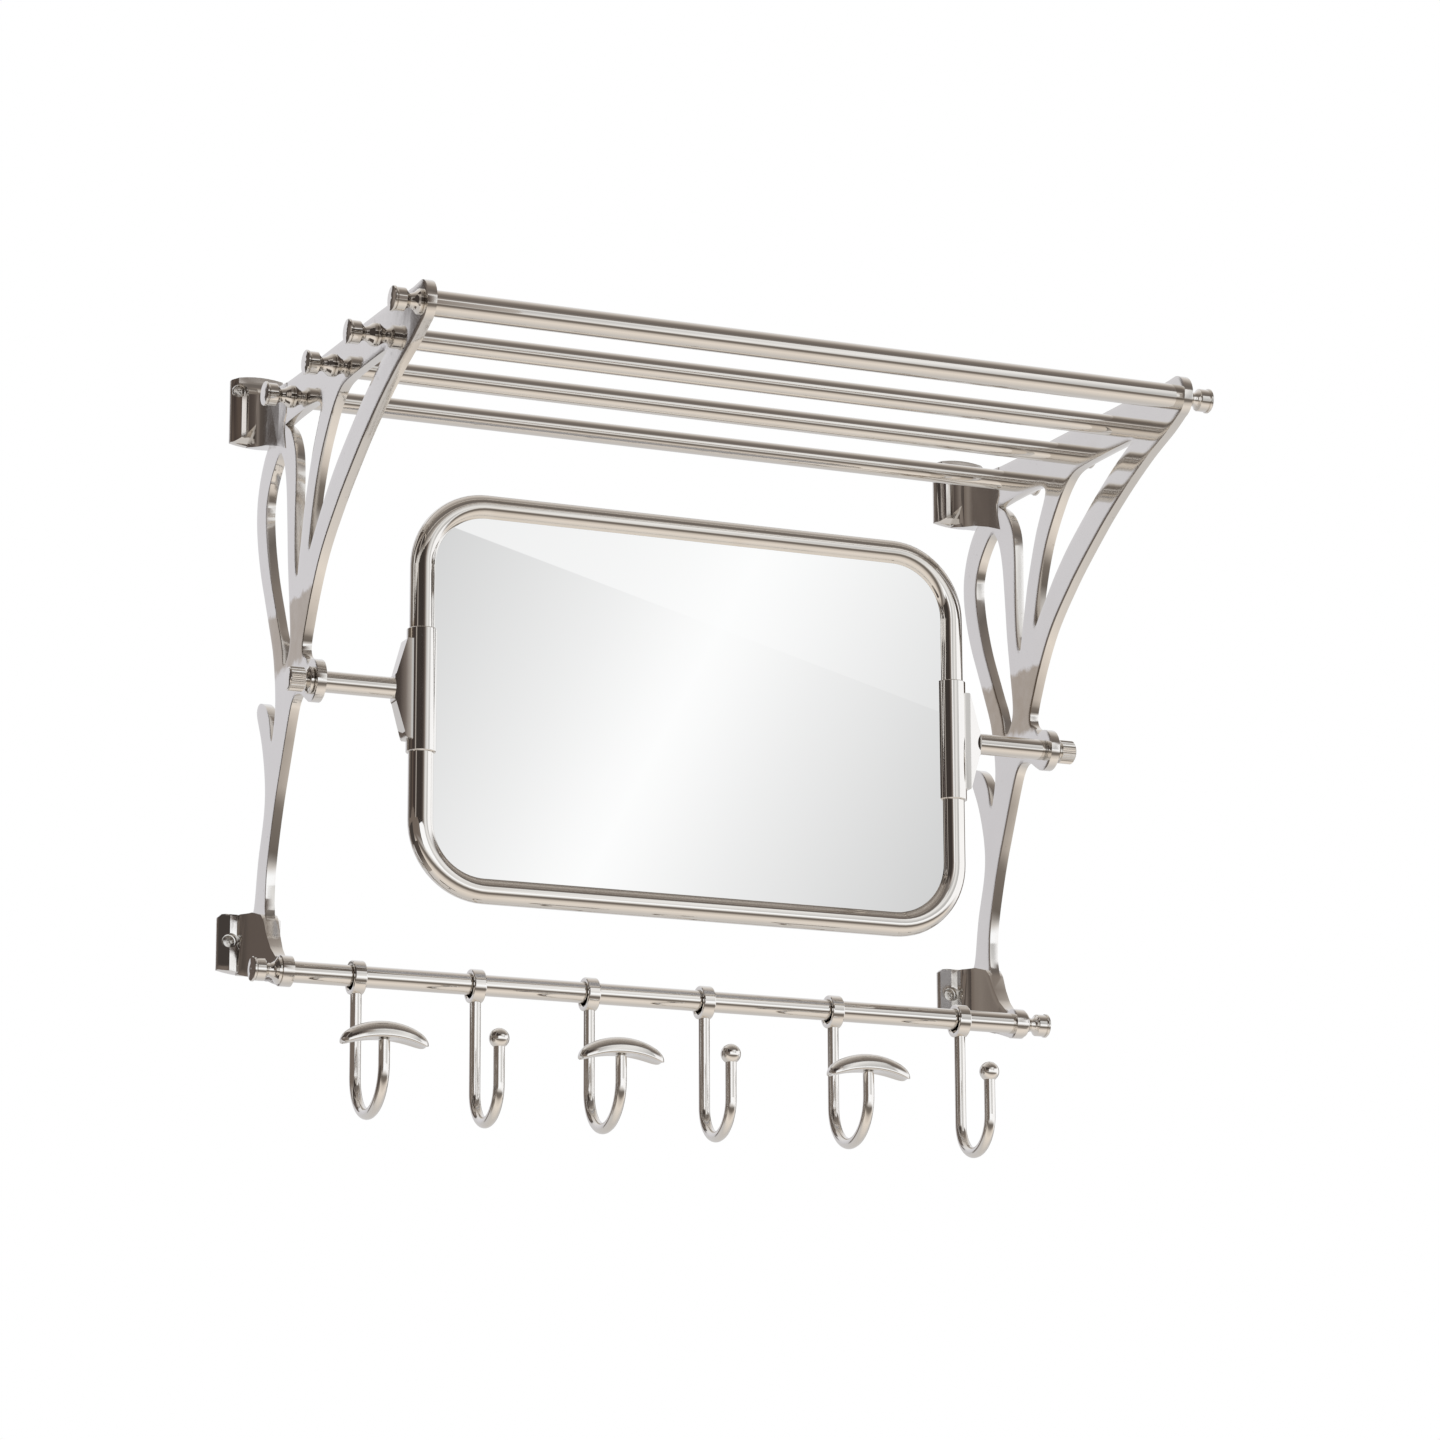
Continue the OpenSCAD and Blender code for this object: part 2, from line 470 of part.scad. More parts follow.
hook_ring(5);  // coat_hook_right_ring
hook_rod(5, coat_hook_reach, ball_seat, 5);  // coat_hook_right_rod
hook_ball(5);  // coat_hook_right_ball
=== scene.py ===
"""Looks of the wall coat rack with mirror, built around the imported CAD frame."""
import math

import bmesh
import bpy
from mathutils import Matrix, Vector


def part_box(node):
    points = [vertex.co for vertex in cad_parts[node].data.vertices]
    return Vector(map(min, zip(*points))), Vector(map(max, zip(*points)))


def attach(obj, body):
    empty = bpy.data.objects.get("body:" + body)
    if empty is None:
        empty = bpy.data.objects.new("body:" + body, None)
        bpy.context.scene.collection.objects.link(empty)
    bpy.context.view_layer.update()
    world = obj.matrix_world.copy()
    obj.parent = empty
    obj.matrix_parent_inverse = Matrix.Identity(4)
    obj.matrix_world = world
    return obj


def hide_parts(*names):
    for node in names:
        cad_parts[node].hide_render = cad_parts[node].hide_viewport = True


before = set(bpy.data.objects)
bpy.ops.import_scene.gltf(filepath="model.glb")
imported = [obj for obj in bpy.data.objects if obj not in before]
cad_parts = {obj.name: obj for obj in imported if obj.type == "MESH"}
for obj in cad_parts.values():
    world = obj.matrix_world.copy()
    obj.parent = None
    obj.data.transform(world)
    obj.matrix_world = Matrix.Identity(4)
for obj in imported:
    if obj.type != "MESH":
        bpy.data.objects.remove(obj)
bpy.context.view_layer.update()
scene = bpy.context.scene
scene.view_settings.view_transform = "Standard"
scene.view_settings.look = "None"
scene.view_settings.exposure = 0.0
scene.view_settings.gamma = 1.0

NICKEL = (0.78, 0.76, 0.73)


# ---- node helpers --------------------------------------------------------
def lin(c):
    """A display value from 0 to 255 as linear light."""
    c = c / 255.0
    return c / 12.92 if c <= 0.04045 else ((c + 0.055) / 1.055) ** 2.4


class Graph:
    """Short calls for building a node tree."""

    def __init__(self, tree):
        self.t = tree
        tree.nodes.clear()

    def node(self, kind, **props):
        n = self.t.nodes.new(kind)
        for k, v in props.items():
            setattr(n, k, v)
        return n

    def put(self, socket, value):
        if isinstance(value, bpy.types.NodeSocket):
            self.t.links.new(value, socket)
        elif value is not None:
            socket.default_value = value

    def math(self, op, a, b=None, c=None, clamp=False):
        n = self.node("ShaderNodeMath", operation=op, use_clamp=clamp)
        for i, v in enumerate((a, b, c)):
            if v is not None:
                self.put(n.inputs[i], v)
        return n.outputs[0]

    def step(self, value, lo, hi):
        """Smooth rise from 0 to 1 as value goes from lo to hi."""
        n = self.node("ShaderNodeMapRange", interpolation_type="SMOOTHSTEP")
        self.put(n.inputs["Value"], value)
        n.inputs["From Min"].default_value = lo
        n.inputs["From Max"].default_value = hi
        return n.outputs["Result"]

    def ramp(self, value, stops):
        n = self.node("ShaderNodeValToRGB")
        e = n.color_ramp.elements
        while len(e) < len(stops):
            e.new(0.5)
        for el, (p, c) in zip(e, stops):
            el.position = p
            el.color = (*c, 1.0)
        self.put(n.inputs[0], value)
        return n.outputs[0]

    def mix(self, fac, a, b, blend="MIX"):
        n = self.node("ShaderNodeMix", data_type="RGBA", blend_type=blend)
        self.put(n.inputs[0], fac)
        for s, v in ((n.inputs[6], a), (n.inputs[7], b)):
            self.put(s, (*v, 1.0) if isinstance(v, tuple) and len(v) == 3 else v)
        return n.outputs[2]

    def noise(self, vec, scale, detail=3.0, rough=0.5, distort=0.0):
        n = self.node("ShaderNodeTexNoise")
        self.put(n.inputs["Vector"], vec)
        n.inputs["Scale"].default_value = scale
        n.inputs["Detail"].default_value = detail
        n.inputs["Roughness"].default_value = rough
        n.inputs["Distortion"].default_value = distort
        return n.outputs["Fac"]

    def scaled(self, vec, s):
        n = self.node("ShaderNodeMapping")
        self.put(n.inputs["Vector"], vec)
        n.inputs["Scale"].default_value = s
        return n.outputs["Vector"]

    def bump(self, height, strength, distance, normal=None):
        n = self.node("ShaderNodeBump")
        n.inputs["Strength"].default_value = strength
        n.inputs["Distance"].default_value = distance
        self.put(n.inputs["Height"], height)
        if normal is not None:
            self.put(n.inputs["Normal"], normal)
        return n.outputs["Normal"]


# ---- camera --------------------------------------------------------------
LENS_F = 5088.2 / 1440.0 * 36.0
YAW, PITCH, ROLL = math.radians(23.24), math.radians(13.354), math.radians(-0.216)
CAM_AT = Vector((-1.4586, -3.6025, -0.9373))
fw = Vector((math.sin(YAW) * math.cos(PITCH), math.cos(YAW) * math.cos(PITCH), math.sin(PITCH)))
right = Vector((math.cos(YAW), -math.sin(YAW), 0.0))
up = right.cross(fw)
r2 = right * math.cos(ROLL) + up * math.sin(ROLL)
u2 = up * math.cos(ROLL) - right * math.sin(ROLL)
cam_data = bpy.data.cameras.new("camera")
cam_data.sensor_width = 36.0
cam_data.sensor_fit = "HORIZONTAL"
cam_data.lens = LENS_F
cam_data.clip_start, cam_data.clip_end = 0.05, 60.0
cam = bpy.data.objects.new("camera", cam_data)
scene.collection.objects.link(cam)
cam.matrix_world = Matrix((
    (r2.x, u2.x, -fw.x, CAM_AT.x),
    (r2.y, u2.y, -fw.y, CAM_AT.y),
    (r2.z, u2.z, -fw.z, CAM_AT.z),
    (0, 0, 0, 1)))
scene.camera = cam


# ---- studio: the room that the polished metal mirrors ---------------------
def level(r, g, b):
    """The light that polished nickel shows as this display colour."""
    return tuple(lin(v) / k for v, k in zip((r, g, b), NICKEL))


world = bpy.data.worlds.new("studio")
scene.world = world
world.use_nodes = True
g = Graph(world.node_tree)
coord = g.node("ShaderNodeTexCoord").outputs["Generated"]
xyz = g.node("ShaderNodeSeparateXYZ")
g.put(xyz.inputs[0], coord)
dx, dy, dz = xyz.outputs
tilt = g.math("ARCTAN2", dz, g.math("MULTIPLY", dy, -1.0))
turn = g.math("MULTIPLY_ADD", tilt, 1 / (2 * math.pi), 0.5)
# tilt in degrees: 0 is straight in front of the wall, 90 overhead, +-180 the wall side
ROOM = [
    (-180, (196, 193, 191)), (-110, (196, 190, 183)), (-62, (226, 215, 202)), (-44, (200, 189, 177)),
    (-33, (120, 111, 102)), (-22, (105, 97, 89)), (-14, (205, 199, 192)), (-6, (252, 252, 251)), (10, (252, 251, 250)),
    (20, (222, 216, 210)), (29, (132, 124, 117)), (45, (104, 97, 91)), (71, (128, 118, 109)),
    (106, (199, 191, 182)), (137, (222, 219, 216)), (165, (203, 200, 201)), (180, (196, 193, 191))]
room = g.ramp(turn, [((a + 180) / 360, level(*c)) for a, c in ROOM])
low = g.math("MULTIPLY", g.step(dz, -0.3, -0.05), g.math("SUBTRACT", 1.0, g.step(dz, 0.3, 0.5)))
east = g.math("MULTIPLY", g.step(dx, 0.42, 0.55), low)
room = g.mix(east, room, level(250, 248, 246))
far_east = g.math("MULTIPLY", g.math("MULTIPLY", g.step(dx, 0.45, 0.6), g.step(dy, 0.3, 0.45)), low)
room = g.mix(far_east, room, level(120, 110, 101))
left_x = g.math("MULTIPLY", dx, -1.0)
west = g.math("MULTIPLY", g.step(left_x, 0.475, 0.51), low)
side = g.ramp(left_x, [(a, level(*c)) for a, c in ((0.5, (78, 70, 64)), (0.55, (98, 88, 81)), (0.6, (128, 118, 109)), (0.7, (112, 101, 92)))])
room = g.mix(west, room, side)
path = g.node("ShaderNodeLightPath")
bg_room = g.node("ShaderNodeBackground")
g.put(bg_room.inputs["Color"], room)
bg_white = g.node("ShaderNodeBackground")
bg_white.inputs["Color"].default_value = (1, 1, 1, 1)
mixer = g.node("ShaderNodeMixShader")
g.put(mixer.inputs[0], path.outputs["Is Camera Ray"])
g.put(mixer.inputs[1], bg_room.outputs[0])
g.put(mixer.inputs[2], bg_white.outputs[0])
g.put(g.node("ShaderNodeOutputWorld").inputs["Surface"], mixer.outputs[0])


def plane_at(name, centre, normal, width, height, mat):
    """A flat card of the studio, facing along normal, with its height upright."""
    n = Vector(normal).normalized()
    h = Vector((0, 0, 1)) if abs(n.z) < 0.99 else Vector((0, 1, 0))
    side = h.cross(n).normalized()
    top = n.cross(side)
    me = bpy.data.meshes.new(name)
    me.from_pydata([(-width / 2, -height / 2, 0), (width / 2, -height / 2, 0), (width / 2, height / 2, 0), (-width / 2, height / 2, 0)], [], [(0, 1, 2, 3)])
    me.materials.append(mat)
    o = bpy.data.objects.new(name, me)
    scene.collection.objects.link(o)
    c = Vector(centre)
    o.matrix_world = Matrix((
        (side.x, top.x, n.x, c.x), (side.y, top.y, n.y, c.y), (side.z, top.z, n.z, c.z), (0, 0, 0, 1)))
    return o


floor_mat = bpy.data.materials.new("floor")
floor_mat.use_nodes = True
g = Graph(floor_mat.node_tree)
co = g.node("ShaderNodeTexCoord").outputs["Object"]
b = g.node("ShaderNodeBsdfPrincipled")
g.put(b.inputs["Base Color"], g.mix(g.noise(co, 1.5), (0.86, 0.855, 0.85), (0.9, 0.895, 0.89)))
b.inputs["Roughness"].default_value = 0.7
g.put(g.node("ShaderNodeOutputMaterial").inputs["Surface"], b.outputs[0])
floor = plane_at("floor", (0, -0.6, -1.28), (0, 0, 1), 9.0, 9.0, floor_mat)
floor.visible_glossy = False

# The white wall that the rack hangs on. It is seen from the room only.
wall_mat = bpy.data.materials.new("wall")
wall_mat.use_nodes = True
g = Graph(wall_mat.node_tree)
em = g.node("ShaderNodeEmission")
em.inputs["Color"].default_value = (1, 1, 1, 1)
clear = g.node("ShaderNodeBsdfTransparent")
sides = g.node("ShaderNodeMixShader")
g.put(sides.inputs[0], g.node("ShaderNodeNewGeometry").outputs["Backfacing"])
g.put(sides.inputs[1], em.outputs[0])
g.put(sides.inputs[2], clear.outputs[0])
g.put(g.node("ShaderNodeOutputMaterial").inputs["Surface"], sides.outputs[0])
wall = plane_at("wall", (0, 0.0004, 0.0), (0, -1, 0), 3.0, 2.5, wall_mat)
wall.visible_glossy = False
wall.visible_diffuse = False
wall.visible_shadow = False
wall.visible_transmission = False

# The softbox that stands in the mirror: brightest along one slanting line
MIRROR_Y = -0.155
glass_cam = Vector((CAM_AT.x, 2 * MIRROR_Y - CAM_AT.y, CAM_AT.z))
mid = Vector((0.0, MIRROR_Y, -0.046))
beam = (mid - glass_cam).normalized()
card_at = mid + beam * 1.5
spread = (card_at - glass_cam).length / (mid - glass_cam).length
box_mat = bpy.data.materials.new("softbox")
box_mat.use_nodes = True
g = Graph(box_mat.node_tree)
co = g.node("ShaderNodeTexCoord").outputs["Object"]
s = g.node("ShaderNodeSeparateXYZ")
g.put(s.inputs[0], co)
card = plane_at("softbox", card_at, -beam, 1.1, 0.9, box_mat)
inv = card.matrix_world.inverted()


def on_card(x, z):
    """Where the mirror point (x, z) finds the card, in the card's own axes."""
    p = Vector((x, MIRROR_Y, z))
    d = p - glass_cam
    o = inv @ glass_cam
    e = inv.to_3x3() @ d
    k = -o.z / e.z
    return o.x + e.x * k, o.y + e.y * k


p0, p1 = on_card(-0.205, 0.0848), on_card(0.207, -0.0236)
a0, a1 = on_card(0.055, 0.085), on_card(-0.085, -0.175)
tx, ty = a1[0] - a0[0], a1[1] - a0[1]
tl = math.hypot(tx, ty)
nx, ny = -ty / tl, tx / tl
across = g.math("ADD", g.math("MULTIPLY", s.outputs[0], nx), g.math("MULTIPLY_ADD", s.outputs[1], ny, -(a0[0] * nx + a0[1] * ny)))
away = g.math("DIVIDE", g.math("ABSOLUTE", across), 0.4)
tone = g.ramp(away, [(p, (lin(v) / 0.93,) * 3) for p, v in ((0.0, 253), (0.08, 250), (0.3, 238), (0.6, 222), (0.85, 208), (1.0, 202))])
# the pane edge that shows as a paler field above a slanting line
lx, ly = p1[0] - p0[0], p1[1] - p0[1]
ll = math.hypot(lx, ly)
above = g.math("ADD", g.math("MULTIPLY", s.outputs[0], -ly / ll), g.math("MULTIPLY_ADD", s.outputs[1], lx / ll, (p0[0] * ly - p0[1] * lx) / ll))
along = g.math("ADD", g.math("MULTIPLY", s.outputs[0], lx / ll ** 2), g.math("MULTIPLY_ADD", s.outputs[1], ly / ll ** 2, -(p0[0] * lx + p0[1] * ly) / ll ** 2))
sign = 1.0 if (on_card(0.0, 0.09)[0] * -ly + on_card(0.0, 0.09)[1] * lx + p0[0] * ly - p0[1] * lx) > 0 else -1.0
pale = g.math("MULTIPLY", g.step(g.math("MULTIPLY", above, sign), -0.0006, 0.0006), g.math("MULTIPLY_ADD", g.step(along, 0.0, 1.0), -0.45, 0.62))
tone = g.mix(pale, tone, (lin(254) / 0.93,) * 3)
em = g.node("ShaderNodeEmission")
g.put(em.inputs["Color"], tone)
g.put(g.node("ShaderNodeOutputMaterial").inputs["Surface"], em.outputs[0])
card.visible_camera = False
card.visible_diffuse = False
card.visible_shadow = False


# Dark screens in front at the left and along the left, which the upright surfaces mirror
def screen(name, corners, tone_of):
    mat = bpy.data.materials.new(name)
    mat.use_nodes = True
    g = Graph(mat.node_tree)
    at = g.node("ShaderNodeSeparateXYZ")
    g.put(at.inputs[0], g.node("ShaderNodeTexCoord").outputs["Object"])
    em = g.node("ShaderNodeEmission")
    g.put(em.inputs["Color"], tone_of(g, at.outputs))
    g.put(g.node("ShaderNodeOutputMaterial").inputs["Surface"], em.outputs[0])
    me = bpy.data.meshes.new(name)
    me.from_pydata(corners, [], [(0, 1, 2, 3)])
    me.materials.append(mat)
    o = bpy.data.objects.new(name, me)
    scene.collection.objects.link(o)
    o.visible_camera = False
    o.visible_diffuse = False
    o.visible_shadow = False
    return o


def front_tone(g, at):
    across = g.math("ADD", at[0], 0.75)
    return g.ramp(across, [(x + 0.75, level(*c)) for x, c in (
        (-0.75, (60, 54, 50)), (-0.45, (58, 51, 47)), (-0.27, (72, 64, 59)), (-0.14, (112, 102, 95)), (-0.01, (176, 168, 160)))])


def side_tone(g, at):
    along = g.math("MULTIPLY_ADD", at[1], 1 / 1.97, 1.0 / 1.97)
    return g.ramp(along, [((y + 1.0) / 1.97, level(*c)) for y, c in (
        (-1.0, (60, 54, 50)), (-0.52, (60, 54, 50)), (-0.475, (176, 168, 160)), (-0.43, (170, 160, 150)), (-0.39, (66, 58, 53)),
        (-0.22, (60, 52, 49)), (-0.08, (92, 80, 71)), (0.04, (62, 55, 51)), (0.24, (84, 75, 69)), (0.46, (124, 114, 106)),
        (0.66, (84, 76, 70)), (0.97, (66, 59, 55)))])


FY, SX = -1.0, -0.75
screen("screen_front", [(-0.01, FY, 0.02), (SX, FY, -0.02), (SX, FY, 0.5), (-0.01, FY, 0.36)], front_tone)
screen("screen_side", [(SX, FY, -0.02), (SX, 0.9, -0.02), (SX, 0.9, 0.8), (SX, FY, 0.8)], side_tone)
screen("card_low_plate", [(-0.45, -0.14, -0.215), (-0.45, 0.4, -0.215), (-0.45, 0.4, -0.12), (-0.45, -0.14, -0.12)],
       lambda g, at: g.mix(g.step(at[1], -0.02, 0.16), level(66, 60, 56), level(92, 82, 75)))
screen("card_low_side", [(SX, -0.34, -0.75), (SX, 0.2, -0.75), (SX, 0.2, -0.27), (SX, -0.34, -0.27)],
       lambda g, at: g.mix(g.step(at[2], -0.7, -0.4), level(150, 140, 130), level(78, 70, 64)))


def area(name, at, aim, size, power):
    d = bpy.data.lights.new(name, "AREA")
    d.shape = "RECTANGLE"
    d.size, d.size_y = size
    d.energy = power
    o = bpy.data.objects.new(name, d)
    scene.collection.objects.link(o)
    o.location = at
    o.rotation_mode = "QUATERNION"
    o.rotation_quaternion = (Vector(aim) - Vector(at)).to_track_quat("-Z", "Y")
    o.visible_glossy = False
    o.visible_camera = False
    return o


area("soft_front", (-1.2, -2.6, 1.4), (0, 0, -0.1), (2.0, 1.4), 30)
area("soft_back", (0.6, 1.8, 1.2), (0, 0, -0.1), (2.0, 1.4), 20)


# ---- materials -----------------------------------------------------------
def metal(name, base, tint, rough, rough_var, wave=0.0, wave_scale=40.0, grain=0.0, grain_dir=(1, 1, 1), grain_scale=900.0, scratch=0.0, crown=0.0, painted_reflection_and_spots=False):
    """Polished metal: slow colour drift, uneven polish, fine wipe marks and a faint swell of the surface."""
    m = bpy.data.materials.new(name)
    m.use_nodes = True
    m.diffuse_color = (*base, 1)
    g = Graph(m.node_tree)
    co = g.node("ShaderNodeTexCoord").outputs["Object"]
    drift = g.noise(co, 22.0, 3.0, 0.55)
    stain = g.step(g.noise(co, 9.0, 4.0, 0.6, 0.3), 0.56, 0.74)
    col = g.mix(drift, base, tint)
    col = g.mix(g.math("MULTIPLY", stain, 0.35), col, tuple(v * k for v, k in zip(tint, (0.93, 0.9, 0.86))))
    if painted_reflection_and_spots:
        # painted reflection: a browner, mottled field across the flat sides of the strut just above the pivot,
        # standing in for the darker part of the room that these polished faces mirror; small darker grey spots follow
        zc = g.node("ShaderNodeSeparateXYZ")
        g.put(zc.inputs[0], co)
        zz = g.math("MULTIPLY_ADD", g.noise(co, 70.0, 4.0, 0.6), 0.018, zc.outputs[2])
        band = g.math("MULTIPLY", g.step(zz, -0.018, -0.011), g.math("SUBTRACT", 1.0, g.step(zz, 0.032, 0.037)))
        facing = g.node("ShaderNodeSeparateXYZ")
        g.put(facing.inputs[0], g.node("ShaderNodeNewGeometry").outputs["True Normal"])
        band = g.math("MULTIPLY", band, g.step(g.math("ABSOLUTE", facing.outputs[0]), 0.7, 0.95))
        mottle = g.math("MULTIPLY_ADD", g.noise(co, 90.0, 5.0, 0.65), -0.4, 1.15, clamp=True)
        col = g.mix(g.math("MULTIPLY", band, mottle), col, (0.43, 0.365, 0.29))
        spots = g.step(g.noise(co, 260.0, 2.0, 0.5), 0.70, 0.76)
        col = g.mix(g.math("MULTIPLY", spots, 0.35), col, (0.45, 0.42, 0.39))
    b = g.node("ShaderNodeBsdfPrincipled")
    b.inputs["Metallic"].default_value = 1.0
    g.put(b.inputs["Base Color"], col)
    cloud = g.noise(co, 55.0, 5.0, 0.6)
    wipe = g.noise(g.scaled(co, tuple(grain_dir)), grain_scale, 2.0, 0.5)
    r = g.math("MULTIPLY_ADD", cloud, rough_var, rough - rough_var / 2)
    r = g.math("MULTIPLY_ADD", g.step(wipe, 0.62, 0.8), scratch, r, clamp=True)
    g.put(b.inputs["Roughness"], r)
    nrm = None
    if crown:
        # wheel polishing leaves flat faces slightly crowned towards their edges
        bev = g.node("ShaderNodeBevel", samples=8)
        bev.inputs["Radius"].default_value = 0.008
        flat = g.node("ShaderNodeNewGeometry").outputs["Normal"]
        part = g.node("ShaderNodeVectorMath", operation="SCALE")
        g.put(part.inputs[0], bev.outputs[0])
        part.inputs["Scale"].default_value = crown
        rest = g.node("ShaderNodeVectorMath", operation="SCALE")
        g.put(rest.inputs[0], flat)
        rest.inputs["Scale"].default_value = 1 - crown
        tot = g.node("ShaderNodeVectorMath", operation="ADD")
        g.put(tot.inputs[0], part.outputs[0])
        g.put(tot.inputs[1], rest.outputs[0])
        unit = g.node("ShaderNodeVectorMath", operation="NORMALIZE")
        g.put(unit.inputs[0], tot.outputs[0])
        nrm = unit.outputs[0]
    if wave:
        nrm = g.bump(g.noise(co, wave_scale, 2.0, 0.4), 1.0, wave, nrm)
    if grain:
        nrm = g.bump(wipe, 1.0, grain, nrm)
    if nrm is not None:
        g.put(b.inputs["Normal"], nrm)
    g.put(g.node("ShaderNodeOutputMaterial").inputs["Surface"], b.outputs[0])
    return m


def matt(name, base, tint, rough, bump, scale):
    m = bpy.data.materials.new(name)
    m.use_nodes = True
    m.diffuse_color = (*base, 1)
    g = Graph(m.node_tree)
    co = g.node("ShaderNodeTexCoord").outputs["Object"]
    b = g.node("ShaderNodeBsdfPrincipled")
    g.put(b.inputs["Base Color"], g.mix(g.noise(co, 30.0, 5.0, 0.6), base, tint))
    g.put(b.inputs["Roughness"], g.math("MULTIPLY_ADD", g.noise(co, 60.0), 0.2, rough - 0.1))
    g.put(b.inputs["Normal"], g.bump(g.noise(co, scale, 3.0, 0.5), 1.0, bump))
    g.put(g.node("ShaderNodeOutputMaterial").inputs["Surface"], b.outputs[0])
    return m


WARM = (0.74, 0.715, 0.68)
M = {
    "tube": metal("nickel_tube", NICKEL, WARM, 0.035, 0.03, wave=0.000006, wave_scale=30, grain=0.00000012, grain_dir=(0.03, 1, 1), scratch=0.015),
    # the cast finish carries a painted darker reflection band across the strut sides, plus small darker spots
    "cast": metal("nickel_cast", NICKEL, (0.73, 0.71, 0.685), 0.06, 0.05, wave=0.00004, wave_scale=38, grain=0.0000008, grain_dir=(1, 0.25, 0.25), grain_scale=500, scratch=0.06, crown=0.15, painted_reflection_and_spots=True),
    "saddle": metal("nickel_saddle", NICKEL, (0.73, 0.71, 0.685), 0.05, 0.04, wave=0.00002, wave_scale=50, grain=0.0000006, grain_dir=(1, 1, 0.2), grain_scale=500, scratch=0.06),
    "turned": metal("nickel_turned", NICKEL, WARM, 0.045, 0.03, wave=0.000006, grain=0.0000012, grain_dir=(2.2, 0.05, 0.05), grain_scale=700, scratch=0.05),
    "wire": metal("nickel_wire", NICKEL, WARM, 0.11, 0.03, scratch=0.02),
    "rest": metal("nickel_rest", NICKEL, (0.70, 0.68, 0.65), 0.11, 0.08, wave=0.00004, wave_scale=60, grain=0.000001, grain_dir=(0.15, 1, 1), grain_scale=600, scratch=0.1),
    "screw": metal("nickel_screw", (0.62, 0.6, 0.57), (0.5, 0.48, 0.45), 0.2, 0.12, wave=0.00002, wave_scale=300, grain=0.000003, scratch=0.1),
    "steel": metal("turned_steel", (0.6, 0.6, 0.62), (0.5, 0.5, 0.52), 0.3, 0.1, grain=0.000006, grain_dir=(2, 0.1, 0.1), scratch=0.1),
    "sheet": matt("back_paint", (0.42, 0.42, 0.43), (0.37, 0.37, 0.385), 0.55, 0.00004, 700),
}

glass = bpy.data.materials.new("mirror_silvering")
glass.use_nodes = True
g = Graph(glass.node_tree)
co = g.node("ShaderNodeTexCoord").outputs["Object"]
b = g.node("ShaderNodeBsdfPrincipled")
b.inputs["Metallic"].default_value = 1.0
g.put(b.inputs["Base Color"], g.mix(g.noise(co, 6.0, 2.0), (0.93, 0.932, 0.932), (0.922, 0.927, 0.926)))
g.put(b.inputs["Roughness"], g.math("MULTIPLY", g.step(g.noise(co, 25.0, 4.0), 0.62, 0.8), 0.012))
g.put(b.inputs["Normal"], g.bump(g.noise(co, 5.0, 1.0), 1.0, 0.000004))
g.put(g.node("ShaderNodeOutputMaterial").inputs["Surface"], b.outputs[0])
M["mirror"] = glass


def finish_of(n):
    if n.startswith("bracket"):
        return "cast"
    if n.startswith("mirror_saddle"):
        return "saddle"
    if "plugs" in n:
        return "steel"
    if n.endswith("_cap_left") or n.endswith("_cap_right") or n.startswith("tilt_knob") or n.endswith("_ring") or n.endswith("_ball") or n.startswith("pivot_spindle"):
        return "turned"
    if n == "wall_screws" or n.startswith("pivot_washer"):
        return "screw"
    if n == "mirror_glass":
        return "mirror"
    if n == "mirror_back_sheet":
        return "sheet"
    if n.endswith("_rest"):
        return "rest"
    if n.startswith("coat_hook") or n.startswith("hat_hook"):
        return "wire"
    return "tube"


# ---- pieces that stand for CAD nodes --------------------------------------
def smooth_by_angle(me, degrees):
    """Smooth shading, with the edges over that angle kept sharp."""
    bm = bmesh.new()
    bm.from_mesh(me)
    for f in bm.faces:
        f.smooth = True
    for e in bm.edges:
        e.smooth = len(e.link_faces) == 2 and e.calc_face_angle(0.0) < math.radians(degrees)
    bm.to_mesh(me)
    bm.free()


def eased(node, body, mat, width, degrees=32, segments=3):
    """The node's own shape with its faces joined up and its edges rounded off, as polishing leaves them."""
    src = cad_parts[node]
    me = bpy.data.meshes.new(node + "_eased")
    bm = bmesh.new()
    bm.from_mesh(src.data)
    bmesh.ops.remove_doubles(bm, verts=bm.verts, dist=2e-6)
    bmesh.ops.dissolve_limit(bm, angle_limit=math.radians(0.6), verts=bm.verts, edges=bm.edges)
    bm.to_mesh(me)
    bm.free()
    smooth_by_angle(me, degrees)
    me.materials.clear()
    me.materials.append(mat)
    for p in me.polygons:
        p.material_index = 0
    o = bpy.data.objects.new(node + "_eased", me)
    scene.collection.objects.link(o)
    b = o.modifiers.new("ease", "BEVEL")
    b.limit_method = "ANGLE"
    b.angle_limit = math.radians(degrees)
    b.width = width
    b.segments = segments
    b.use_clamp_overlap = True
    b.harden_normals = True
    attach(o, body)
    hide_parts(node)
    return o


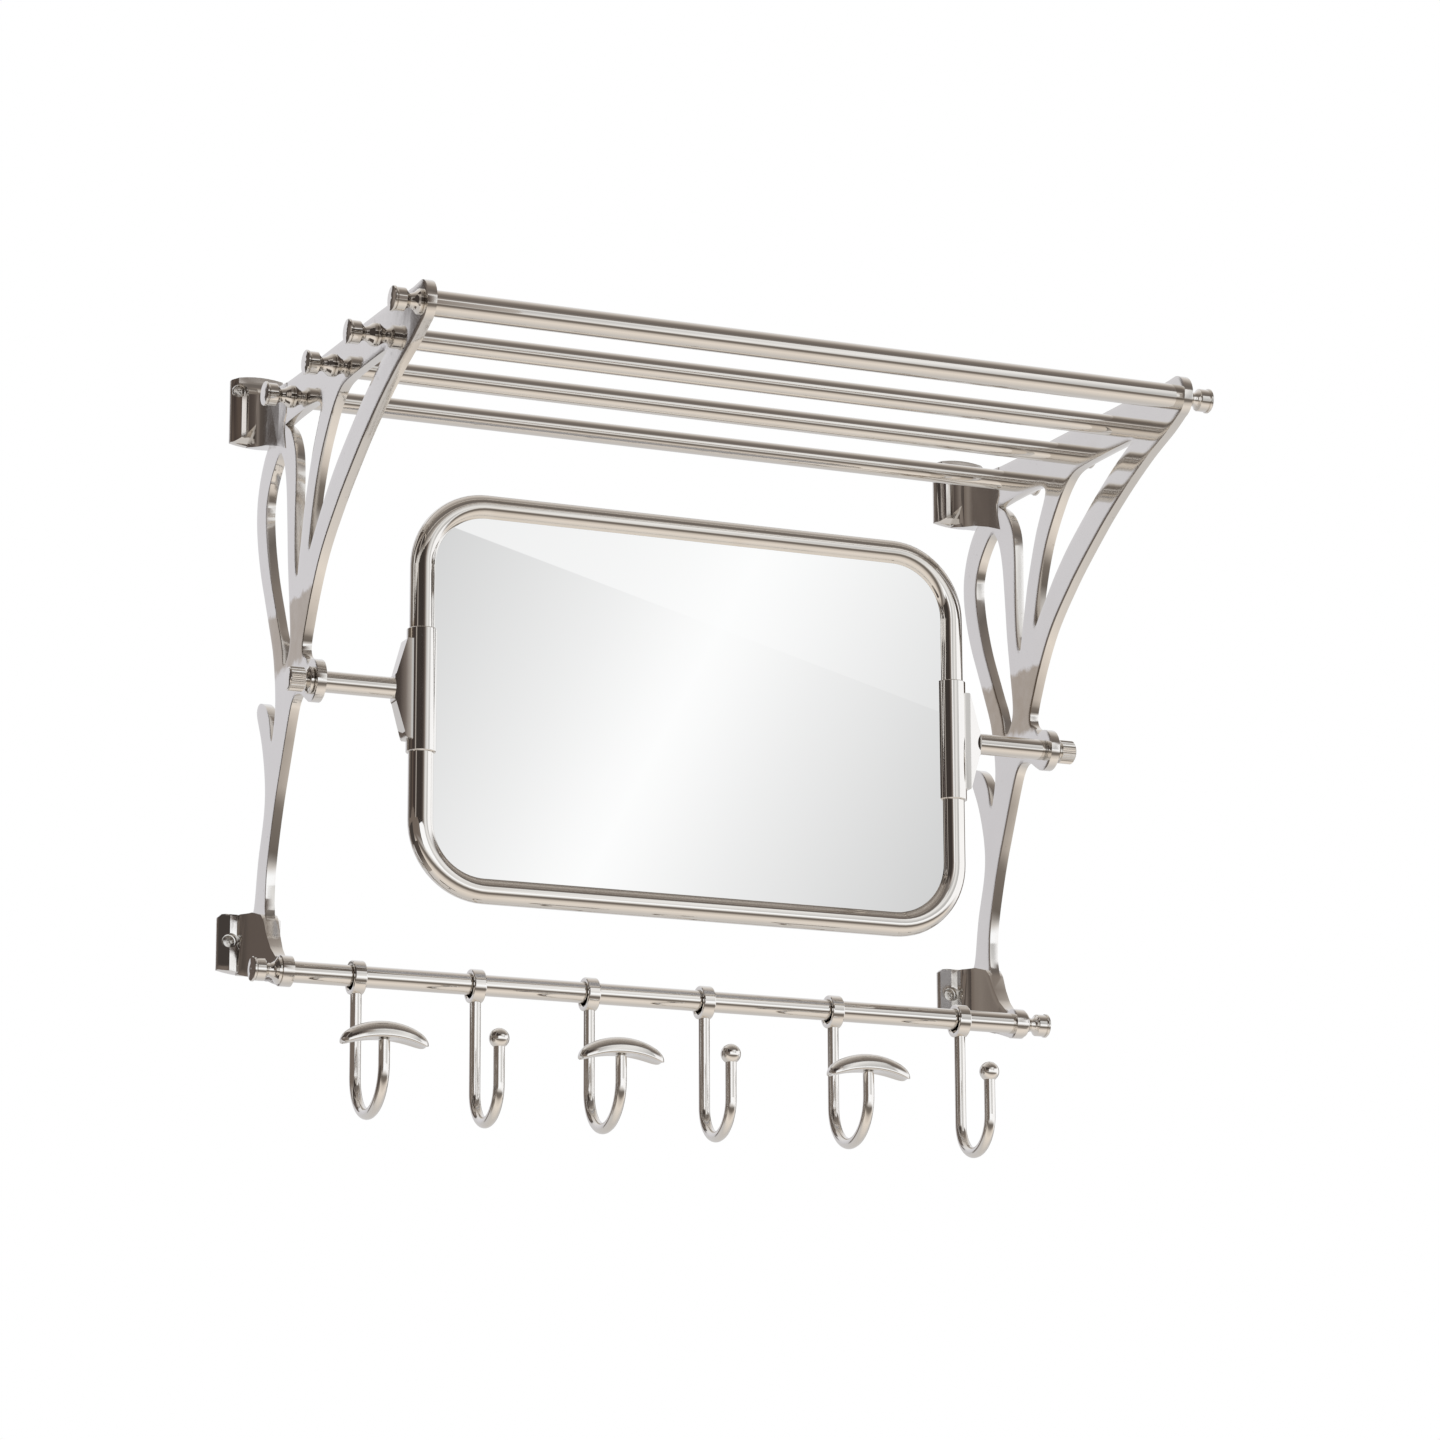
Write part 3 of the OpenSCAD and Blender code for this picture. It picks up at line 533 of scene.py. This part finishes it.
def hat_rest(node, body, mat):
    """The curved hat rest: a crowned pod that thins to blunt round ends, with a lip and a hollow underside."""
    lo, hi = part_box(node)
    cx, cy = (lo.x + hi.x) / 2, (lo.y + hi.y) / 2
    a, w0 = (hi.x - lo.x) / 2 - 0.0001, (hi.y - lo.y) / 2 - 0.0001
    top, under = hi.z, hi.z - 0.014
    rings, around = 48, 36
    vs, fs = [], []
    for i in range(rings + 1):
        v = math.sin(math.pi * (i / rings - 0.5))
        x = a * v
        zt = top - 0.056 + math.sqrt(0.056 ** 2 - x * x)
        zb = under - 0.090 + math.sqrt(0.090 ** 2 - x * x)
        end = math.sqrt(max(0.0, 1 - abs(v) ** 14))
        zm, t = (zt + zb) / 2, (zt - zb) * max(end, 0.02)
        w = w0 * max(0.0004, 1 - abs(v) ** 3.33) ** 0.3
        zlo, zhi = zm - t / 2, zm + t / 2
        rim = zlo + 0.24 * t
        for k in range(around):
            q = 2 * math.pi * k / around
            c, sn = math.cos(q), math.sin(q)
            if sn >= 0:
                y = w * math.copysign(abs(c) ** 0.9, c)
                z = rim + (zhi - rim) * sn ** 0.92
            else:
                y = w * math.copysign(min(1.0, abs(c) ** 0.55), c)
                hollow = 0.16 * t * (1 - c * c) ** 2 * (1 - math.exp(-(x * x + y * y) / 0.008 ** 2))
                z = rim - (rim - zlo) * min(1.0, (-sn) ** 0.6) + hollow
            vs.append((cx + x, cy + y, z))
    for i in range(rings):
        for k in range(around):
            k2 = (k + 1) % around
            fs.append((i * around + k, (i + 1) * around + k, (i + 1) * around + k2, i * around + k2))
    fs.append(tuple(range(around)))
    fs.append(tuple(reversed(range(rings * around, (rings + 1) * around))))
    me = bpy.data.meshes.new(node + "_pod")
    me.from_pydata(vs, [], fs)
    me.materials.append(mat)
    bm = bmesh.new()
    bm.from_mesh(me)
    bmesh.ops.recalc_face_normals(bm, faces=bm.faces)
    for f in bm.faces:
        f.smooth = True
    bm.to_mesh(me)
    bm.free()
    o = bpy.data.objects.new(node + "_pod", me)
    scene.collection.objects.link(o)
    sub = o.modifiers.new("round", "SUBSURF")
    sub.levels = sub.render_levels = 1
    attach(o, body)
    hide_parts(node)
    return o


for side in ("left", "right"):
    eased("bracket_" + side, "frame", M["cast"], 0.0007)
    eased("mirror_saddle_" + side, "mirror", M["saddle"], 0.0005)
    eased("tilt_knob_" + side, "knob_" + side, M["turned"], 0.00015, 28, 2)
for side in ("left", "middle", "right"):
    hat_rest("hat_hook_" + side + "_rest", "hat_hook_" + side, M["rest"])

for name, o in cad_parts.items():
    mat = M[finish_of(name)]
    if not o.material_slots:
        o.data.materials.append(mat)
    for sl in o.material_slots:
        sl.material = mat
